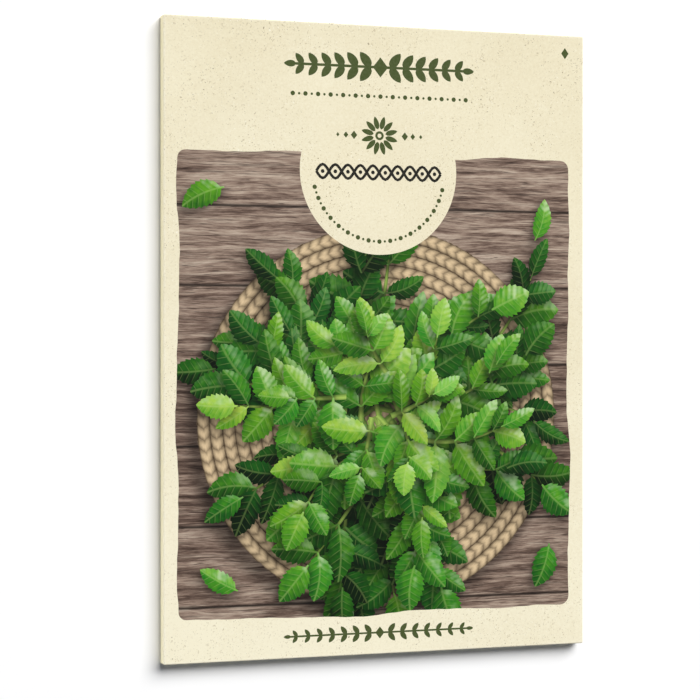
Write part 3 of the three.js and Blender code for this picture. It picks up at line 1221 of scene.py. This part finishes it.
front_points = np.vstack(
    [
        np.c_[flat_points, FRONT_Z + front_height(flat_points)],
        folds[:, 1:-1].reshape(-1, 3),
        np.c_[inner_points, FRONT_Z - PAPER + front_height(inner_points)],
    ]
)
fold_quads = ring_faces(fold_index)
inner_faces = inner_triangles[:, ::-1] + outer_count + fold_count
front_faces = triangles.tolist() + fold_quads.tolist() + inner_faces.tolist()
front_sheet = build_mesh("front_sheet", front_points, front_faces, front_materials)
print("front sheet:", len(front_points), "points,", len(front_faces), "faces")

# %% [markdown]
# What the inks need to know is stored on the mesh: the map, the places on the leaves, and the number of
# each face's ink. Normals could be left to Blender, which averages them over the faces round a point. But
# the print cuts the face into long and tiny triangles, and their averages would show as dents in the
# gloss. So the printed face gets the normals of its formula, and the folds keep Blender's.

# %% Front sheet's map, inks and normals
SHARP_ANGLE = np.radians(50)


def set_vectors(mesh, name, values, domain="CORNER"):
    """Stores one vector for each face corner, or for each point."""
    layer = mesh.attributes.new(name, "FLOAT_VECTOR", domain)
    layer.data.foreach_set("vector", values.astype(np.float32).ravel())


def set_inks(mesh, inks):
    """Gives the first faces their inks. All faces after them are bare paper."""
    face_inks = np.full(len(mesh.polygons), PAPER_INK, np.int32)
    face_inks[: len(inks)] = inks
    mesh.polygons.foreach_set("material_index", face_inks)


def stand_for(piece, slot, *nodes):
    """Makes a piece ride on the packet in place of construction pieces, which it hides. The slot is not used.
    """
    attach(piece, "root")
    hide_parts(*nodes)


def front_map():
    """The map place of every face corner, in the order of the faces."""
    printed = flat_map(corner_point, 0.0, PRINT_SHARE)
    strip = strip_map(folds.shape[0], folds.shape[1] - 1, *FOLD_STRIP)
    inside = flat_map(inner_points[inner_triangles[:, ::-1].ravel()], *INNER_STRIP)
    return np.vstack([printed, strip, inside])


def padded_corners(values, filler):
    """Values for the printed face's corners, followed by a filler for the other corners."""
    rest = len(front_sheet.data.loops) - len(values)
    return np.vstack([values, np.tile(filler, (rest, 1))])


mesh = front_sheet.data
set_map(mesh, front_map())
set_vectors(mesh, "blade_place", padded_corners(blade_place, (0.0, 0.0, 0.0)))
set_vectors(mesh, "blade_light", padded_corners(blade_light, (0.0, 1.0, 0.0)))
set_vectors(mesh, "blade_turn", padded_corners(blade_turn, (0.0, 0.0, 0.0)))
set_inks(mesh, triangle_inks)

mesh.set_sharp_from_angle(angle=SHARP_ANGLE)
normals = np.empty(3 * len(mesh.loops), np.float32)
mesh.corner_normals.foreach_get("vector", normals)
normals = normals.reshape(-1, 3)
normals[: len(corner_point)] = front_normals(corner_point)
mesh.normals_split_custom_set(normals.tolist())

fold_nodes = ("left_side_fold", "right_side_fold", "bottom_fold", "top_fold")
stand_for(front_sheet, "paper", "front_panel", *fold_nodes)
print("front sheet has", len(mesh.materials), "inks")

# %% [markdown]
# The back panel, the flaps and the seam tab are flat pieces of the same paper with two faces and a narrow
# edge. A flap is a grid of points for its lower face. The upper face is the same grid one paper thickness
# higher, and a strip of quads round the rim closes the two. A Solidify modifier does the same for one
# thickness. The glue lines are made the same way, and their thickness changes from point to point.

# %% Sheets of paper
def finished_piece(name, points, faces, materials, slot, node):
    """A closed piece with smooth faces and sharp edges, which stands for a construction piece."""
    piece = build_mesh(name, points, faces, materials)
    piece.data.set_sharp_from_angle(angle=SHARP_ANGLE)
    stand_for(piece, slot, node)
    return piece


def closed_grid(lower, thickness):
    """Points and faces of a closed piece from a grid for its lower face and a thickness, which may change
    from point to point."""
    upper = lower.copy()
    upper[:, :, 2] += thickness
    low = np.arange(lower[:, :, 0].size).reshape(lower.shape[:2])
    down = np.stack([low[:-1, :-1], low[1:, :-1], low[1:, 1:], low[:-1, 1:]], axis=-1).reshape(-1, 4)
    rim = np.r_[low[0, :-1], low[:-1, -1], low[-1, :0:-1], low[:0:-1, 0]]
    wall = ring_faces(np.c_[rim + low.size, rim])
    faces = np.vstack([down, down[:, ::-1] + low.size, wall])
    return np.vstack([lower.reshape(-1, 3), upper.reshape(-1, 3)]), faces.tolist()


print("a sheet of paper is", round(PAPER, 2), "mm thick")

# %% [markdown]
# The back panel is read from below. It carries a plain print in olive for the gardener: a frame, four
# signs for light, water, depth of sowing and growth, a calendar of two rows of twelve months in which the
# months for sowing and for cutting are filled, and lines to write on. Its shapes are laid down as a
# reader sees them. A line round an area is a shape in olive with a smaller one of another ink on it.

# %% Back print
PRINT_LOW = np.array([-34.0, -38.0])
PRINT_HIGH = np.array([34.0, 29.0])
PRINT_ROUND = 2.5
PRINT_LINE = 0.3
MONTHS = 12
MONTH_SIDE = 4.4
MONTH_PITCH = 5.2
MONTH_ROUND = 0.7
CALENDAR_ROWS = [(1.4, range(2, 8)), (-5.2, range(5, 11))]  # height of a row, and its filled months
NOTE_LINES = (-16.5, -23.5, -30.5)
NOTE_HALF_LENGTH = 30.0

back_shapes = []


def framed_area(low, high, corner, fill):
    """A rounded rectangle in olive, and on it a smaller one in the fill ink, one line's width further in."""
    for step, shape_ink in ((0.0, OLIVE_INK), (PRINT_LINE, fill)):
        outline, _ = rounded_rectangle(low + step, high - step, corner - step, 4, 5.0)
        flat_shape(outline, shape_ink, back_shapes)


def calendar():
    """Rows of small framed areas, one for each month."""
    for height, filled in CALENDAR_ROWS:
        for month in range(MONTHS):
            middle = np.array([(month - (MONTHS - 1) / 2) * MONTH_PITCH, height])
            fill = OLIVE_INK if month in filled else PAPER_INK
            framed_area(middle - MONTH_SIDE / 2, middle + MONTH_SIDE / 2, MONTH_ROUND, fill)


framed_area(PRINT_LOW, PRINT_HIGH, PRINT_ROUND, PAPER_INK)
calendar()
garland(
    (0.0, 9.6),
    half_length=24.0,
    leaf_length=2.4,
    half_width=0.25,
    line=0.18,
    pairs=9,
    onto=back_shapes,
)
for height in NOTE_LINES:
    ends = np.array([[-NOTE_HALF_LENGTH, height], [NOTE_HALF_LENGTH, height]])
    flat_shape(band(ends, PRINT_LINE / 2), OLIVE_INK, back_shapes)
print("back print of", len(back_shapes), "shapes so far")

# %% [markdown]
# Each sign is a disc in olive with its picture left bare: a sun with eight rays, a drop, a seed in crumbs
# of soil under the line of the ground, and a seedling with two leaves.

# %% Signs on the back
SIGN_RADIUS = 5.8
SIGN_PITCH = 15.4
SIGNS_Y = 20.3
SUN_RADIUS = 1.6
SUN_RAYS = 8
SOIL_CRUMBS = [
    (-3.4, 0.3),
    (-2.0, -3.3),
    (0.1, -3.9),
    (2.1, -3.2),
    (3.5, 0.2),
    (-3.7, -1.8),
    (3.6, -1.7),
    (0.2, 0.4),
]


def drop_profile(steps=17):
    """A drop: its half width is sqrt(along) (1 - along), scaled to 1 at the widest place."""
    along = np.linspace(0.0, 1.0, steps)
    return along, 2.6 * along**0.5 * (1 - along)


def bare_blade(foot, angle, length, half_width, profile):
    blade(foot, angle, length, half_width, 0.0, profile, PAPER_INK, onto=back_shapes)


def bare_line(centre, start, end):
    path = np.linspace(centre + np.array(start), centre + np.array(end), 3)
    flat_shape(band(path, PRINT_LINE), PAPER_INK, back_shapes)


def sun_sign(centre):
    flat_shape(disc(centre, SUN_RADIUS, 32), PAPER_INK, back_shapes)
    for angle in 2 * np.pi * np.arange(SUN_RAYS) / SUN_RAYS:
        foot = centre + (SUN_RADIUS + 0.6) * direction(angle)
        bare_blade(foot, angle, 2.3, 0.17, smooth_profile())


def drop_sign(centre):
    bare_blade(centre + np.array([0.0, -3.1]), np.pi / 2, 7.0, 0.32, drop_profile())


def depth_sign(centre):
    bare_line(centre, (-4.3, 1.6), (4.3, 1.6))
    bare_blade(centre + np.array([-1.7, -1.4]), 0.0, 3.4, 0.27, smooth_profile())
    for place in SOIL_CRUMBS:
        flat_shape(disc(centre + np.array(place), 0.32, 12), PAPER_INK, back_shapes)


def seedling_sign(centre):
    bare_line(centre, (0.0, -3.8), (0.0, 0.4))
    for degrees in (38, 142):
        bare_blade(centre + np.array([0.0, 0.2]), np.radians(degrees), 4.2, 0.27, smooth_profile())


for step, draw in enumerate([sun_sign, drop_sign, depth_sign, seedling_sign]):
    centre = np.array([(step - 1.5) * SIGN_PITCH, SIGNS_Y])
    flat_shape(disc(centre, SIGN_RADIUS, 64), OLIVE_INK, back_shapes)
    draw(centre)
print("back print of", len(back_shapes), "shapes in all")

# %% [markdown]
# The back panel hangs down a little between its flaps under the seeds. Its print is triangulated as on
# the front, and the same triangles serve for its upper face.

# %% Back panel
BACK_SAG = 0.1
BACK_SAG_END = 33.0  # the flaps start beyond this
BACK_STEP = 2.4
BACK_CORNER = 0.4
MIRRORED = np.array([-1, 1])
back_low, back_high = node_box("back_panel")
back_low[0] = inset_low[0]  # it goes on into the left fold


def back_height(points):
    """The height of the back panel over its rim, below 0 because it sags: (1 - x^2)^2 (1 - y^2)^2 as on the
    front, but with y from -1 to 1 between the flaps."""
    share = points / np.array([WIDTH / 2, BACK_SAG_END])
    return -BACK_SAG * np.clip(1 - share**2, 0, None).prod(axis=1) ** 2


def back_panel():
    """The printed face below, the inner face above it and a wall round the rim. The print is mirrored,
    because it is read from below."""
    rim, _ = rounded_rectangle(back_low[:2], back_high[:2], BACK_CORNER, 3, BACK_STEP)
    print_outlines = [(shape["outline"] * MIRRORED)[::-1] for shape in back_shapes]
    grid = hexagonal_grid(back_low[:2] + BACK_STEP, back_high[:2] - BACK_STEP / 2, BACK_STEP)
    points, triangles, holders = triangulate([rim] + print_outlines, grid)
    lower = np.c_[points, BACK_Z + back_height(points)]
    upper = lower + np.array([0.0, 0.0, PAPER])
    rim_numbers = edge_numbers(points, rim)
    wall = ring_faces(np.c_[rim_numbers + len(points), rim_numbers])
    faces = triangles[:, ::-1].tolist() + (triangles + len(points)).tolist() + wall.tolist()
    both_faces = np.vstack([lower, upper])
    piece = finished_piece("back_sheet", both_faces, faces, [paper, olive], "paper", "back_panel")
    outline_inks = np.array([PAPER_INK] + [shape["ink"] for shape in back_shapes])
    set_inks(piece.data, outline_inks[[max(held) for held in holders]])
    printed = flat_map(points[triangles[:, ::-1].ravel()] * MIRRORED, 0.0, PRINT_SHARE)
    inside = flat_map(points[triangles.ravel()], *INNER_STRIP)
    set_map(piece.data, np.vstack([printed, inside, strip_map(len(wall), 1, *FOLD_STRIP)]))
    print("back panel", (back_high - back_low)[:2].round(1), "mm,", len(faces), "faces")


back_panel()

# %% [markdown]
# A flap gets narrower from its fold to its free edge, and it has two round corners there. One parameter
# runs away from the fold and sets the half width, and the other runs across from one side to the other. A
# Bevel on a flat plate would round the corners too. The grid also has points inside the flap.

# %% Flaps and seam tab
def flap_grid(fold_half, edge_half, depth, corner, level, rows=24, columns=33):
    """A flap with its fold along X at y = 0 and its free edge at y = depth. The half width falls evenly from
    fold_half to edge_half, less what a quarter circle of radius corner takes away at the end."""
    turn = np.linspace(0, np.pi / 2, rows // 2)
    straight = np.linspace(0, depth - corner, rows - len(turn) + 1)[:-1]
    down = np.r_[straight, depth - corner * (1 - np.sin(turn))]
    half = fold_half + (edge_half - fold_half) * np.clip(down / (depth - corner), 0, 1)
    half[-len(turn):] -= corner * (1 - np.cos(turn))
    across = np.linspace(-1, 1, columns)
    x = half[:, None] * across
    y = np.broadcast_to(down[:, None], x.shape)
    return np.stack([x, y, np.full(x.shape, level)], axis=-1)


def turned(grid, centre, quarter_turns):
    """A grid turned about Z by quarter turns and moved so that its origin is at centre."""
    cosine, sine = [(1, 0), (0, 1), (-1, 0), (0, -1)][quarter_turns]
    x, y, z = np.moveaxis(grid, -1, 0)
    return np.stack([centre[0] + cosine * x - sine * y, centre[1] + sine * x + cosine * y, z], axis=-1)


TOP_FLAP = (35.3, 5.0)  # half length of the free edge, and the radius of its corners
BOTTOM_FLAP = (37.3, 2.5)
SEAM_TAB = (50.8, 1.5)
half_x, half_y = FRONT_HIGH - CORNER_RADIUS  # half lengths of the folds along X and along Y
top_depth = inset_high[1] - node_box("top_flap")[0][1]
bottom_depth = node_box("bottom_flap")[1][1] - inset_low[1]
tab_depth = inset_high[0] - node_box("side_seam_tab")[0][0]

flaps = [
    # name, node, half length of the fold, free edge, depth, level, place of the fold, quarter turns
    ("top_flap_sheet", "top_flap", half_x, TOP_FLAP, top_depth, FLAP_Z, (0, inset_high[1]), 2),
    ("bottom_flap_sheet", "bottom_flap", half_x, BOTTOM_FLAP, bottom_depth, FLAP_Z, (0, inset_low[1]), 0),
    ("seam_tab_sheet", "side_seam_tab", half_y, SEAM_TAB, tab_depth, TAB_Z, (inset_high[0], 0), 1),
]
for name, node, half, (edge_half, corner), depth, level, fold_place, turns in flaps:
    grid = turned(flap_grid(half, edge_half, depth, corner, level), fold_place, turns)
    finished_piece(name, *closed_grid(grid, PAPER), [paper], "paper", node)
    print(name, f"{depth:.1f} mm deep")

# %% [markdown]
# The three glue lines were rolled on wet and then pressed, so their edges wander a little, and they are
# thinnest at the rim. Each is a strip on a grid inside the box of its construction piece, so it can't
# reach the paper above or below it.

# %% Glue lines
GLUE_WANDER = 0.22
GLUE_RELIEF = 0.02
GLUE_DARK = ink(214, 200, 158)
GLUE_PALE = ink(236, 226, 192)


def glue_finish():
    finish = Finish("dried glue")
    streaks = finish.noise(stretched(finish, finish.place(), 0.0, 3.3, 0.7), 1.0, 3.0)
    colour = finish.mix(streaks, GLUE_DARK, GLUE_PALE)
    return finish.close(colour, 0.25 + streaks * 0.3, streaks, GLUE_RELIEF)


def glue_grid(low, high, seed):
    """A strip along the longer side of a box, and its thickness. The rim moves in and out by slow waves, and
    the thickness falls off towards it with the fourth power of the distance from the middle."""
    size = high - low
    upright = int(size[1] > size[0])
    phase = np.random.default_rng(seed).uniform(0, 2 * np.pi, 4)
    along = np.linspace(-1, 1, 61)[None, :]
    across = np.linspace(-1, 1, 9)[:, None]
    x = np.tile(along * size[upright] / 2, (len(across), 1))
    uneven = np.where(across > 0, phase[2], phase[3]) / 6
    waves = np.sin(0.5 * x + phase[0]) + np.sin(1.3 * x + phase[1]) + uneven
    y = (size[1 - upright] / 2 - GLUE_WANDER + waves * GLUE_WANDER / 3) * across
    strip = np.stack([x, y, np.full(x.shape, low[2])], axis=-1)
    thickness = size[2] * (1 - 0.7 * np.maximum(across**4, along**40))
    return turned(strip, (low + high)[:2] / 2, upright), thickness


glue = glue_finish()
for seed, node in enumerate(["side_seam_glue", "bottom_flap_glue", "top_flap_glue"]):
    grid, thickness = glue_grid(*node_box(node), seed)
    finished_piece(node + "_line", *closed_grid(grid, thickness), [glue], "glue", node)
print("three glue lines")

# %% [markdown]
# The seeds lie loose on the back panel. A seed is a bent, egg-shaped body with five pale ribs, a few
# dozen faces in all. Its section is a ring of ten points in which every second one is set in, so that
# five ribs stand out. The section shrinks towards both ends and is carried along an arc. All seeds come
# from one array: the shape of one seed, turned and moved for each. The first ones lie where the
# construction model has its seeds, and the rest go on along the same golden-ratio sequence. Places drawn
# at random would let seeds run into each other, and this sequence keeps neighbours apart.

# %% Seeds
SEED_NODES = sorted(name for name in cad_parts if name.startswith("seed_"))
SEED_COUNT = 260
SEED_LENGTH, SEED_WIDTH, SEED_HEIGHT = 2.8, 1.3, 1.0
SEED_RIBS = 5
SEED_GROOVE = 0.16  # share of the radius, between two ribs
SEED_BEND = 0.22
SEED_CLEAR = 0.04  # between a seed and the back panel
SEED_RELIEF = 0.02
HUSK_DARK = ink(84, 68, 42)
HUSK_PALE = ink(136, 116, 78)
RIB_PALE = ink(190, 172, 128)
SEED_SPREAD = np.array([62.0, 88.0])
SEED_MIDDLE = np.array([-4.0, -4.0])
SEQUENCE = np.array([0.7548776662, 0.5698402909])
GOLDEN_ANGLE = np.pi * (3 - np.sqrt(5))


def seed_finish():
    finish = Finish("seed husk")
    rib, tint, _ = finish.attribute("seed_place")
    mottle = finish.noise(finish.place(), 3.0, 3.0)
    husk = finish.mix(tint * 0.7 + mottle * 0.4, HUSK_DARK, HUSK_PALE)
    return finish.close(finish.mix(rib * 0.75, husk, RIB_PALE), 0.75, mottle, SEED_RELIEF)


def seed_grid(rings=6):
    """One seed along Y, as rings by points round a ring, and which points are on a rib. A ring's radius is a
    half sine along the seed, fuller at its base, and every second point is set in. The middle is moved
    sideways by a parabola."""
    along = np.linspace(0, 1, rings)[:, None]
    turn = np.linspace(0, 2 * np.pi, 2 * SEED_RIBS, endpoint=False)[None, :]
    rib = np.tile([1.0, 0.0], (rings, SEED_RIBS))
    radius = np.sin(np.pi * (0.03 + 0.94 * along)) * (1.08 - 0.32 * along) * (1 - SEED_GROOVE * (1 - rib))
    x = radius * np.cos(turn) * SEED_WIDTH / 2 + SEED_BEND * (4 * along * (1 - along) - 0.5)
    y = np.tile((along - 0.5) * SEED_LENGTH, (1, 2 * SEED_RIBS))
    z = radius * np.sin(turn) * SEED_HEIGHT / 2
    return np.stack([x, y, z], axis=-1), rib


def seed_places():
    """Middle and turn of each seed: the golden-ratio sequence over the spread, and the golden angle."""
    index = np.arange(SEED_COUNT)
    share = (0.5 + SEQUENCE * index[:, None]) % 1
    return SEED_MIDDLE + (share - 0.5) * SEED_SPREAD, index * GOLDEN_ANGLE


def loose_seeds():
    """All seeds as one mesh: quads round each seed and a many-sided face at each end."""
    grid, rib = seed_grid()
    rings, sides = grid.shape[:2]
    middle, turn = seed_places()
    lift = BACK_Z + PAPER + SEED_HEIGHT / 2 + SEED_CLEAR + back_height(middle)
    cosine, sine = np.cos(turn)[:, None], np.sin(turn)[:, None]
    x, y, z = grid.reshape(-1, 3).T
    points = np.stack(
        [
            middle[:, :1] + cosine * x - sine * y,
            middle[:, 1:] + sine * x + cosine * y,
            lift[:, None] + np.broadcast_to(z, (SEED_COUNT, len(z))),
        ],
        axis=-1,
    )
    index = np.arange(rings * sides).reshape(rings, sides)
    after = np.roll(index, -1, axis=1)
    quads = np.stack([index[:-1], index[1:], after[1:], after[:-1]], axis=-1).reshape(-1, 4)
    starts = np.arange(SEED_COUNT)[:, None, None] * rings * sides
    faces = (starts + quads).reshape(-1, 4).tolist()
    faces += (starts[:, 0] + index[0]).tolist()
    faces += (starts[:, 0] + index[-1, ::-1]).tolist()
    piece = build_mesh("loose_seeds", points.reshape(-1, 3), faces, [seed_finish()])
    place = np.zeros((SEED_COUNT, rib.size, 3))
    place[:, :, 0] = rib.ravel()
    place[:, :, 1] = np.random.default_rng(5).uniform(0, 1, (SEED_COUNT, 1))
    set_vectors(piece.data, "seed_place", place, "POINT")
    return piece


stand_for(loose_seeds(), "seed_husk", *SEED_NODES)
node_middles = np.array([sum(node_box(node)) / 2 for node in SEED_NODES])
apart = np.linalg.norm(node_middles[:, :2] - seed_places()[0][: len(SEED_NODES)], axis=1).max()
print(SEED_COUNT, "seeds, the first", len(SEED_NODES), f"within {apart:.2f} mm of the frame's")
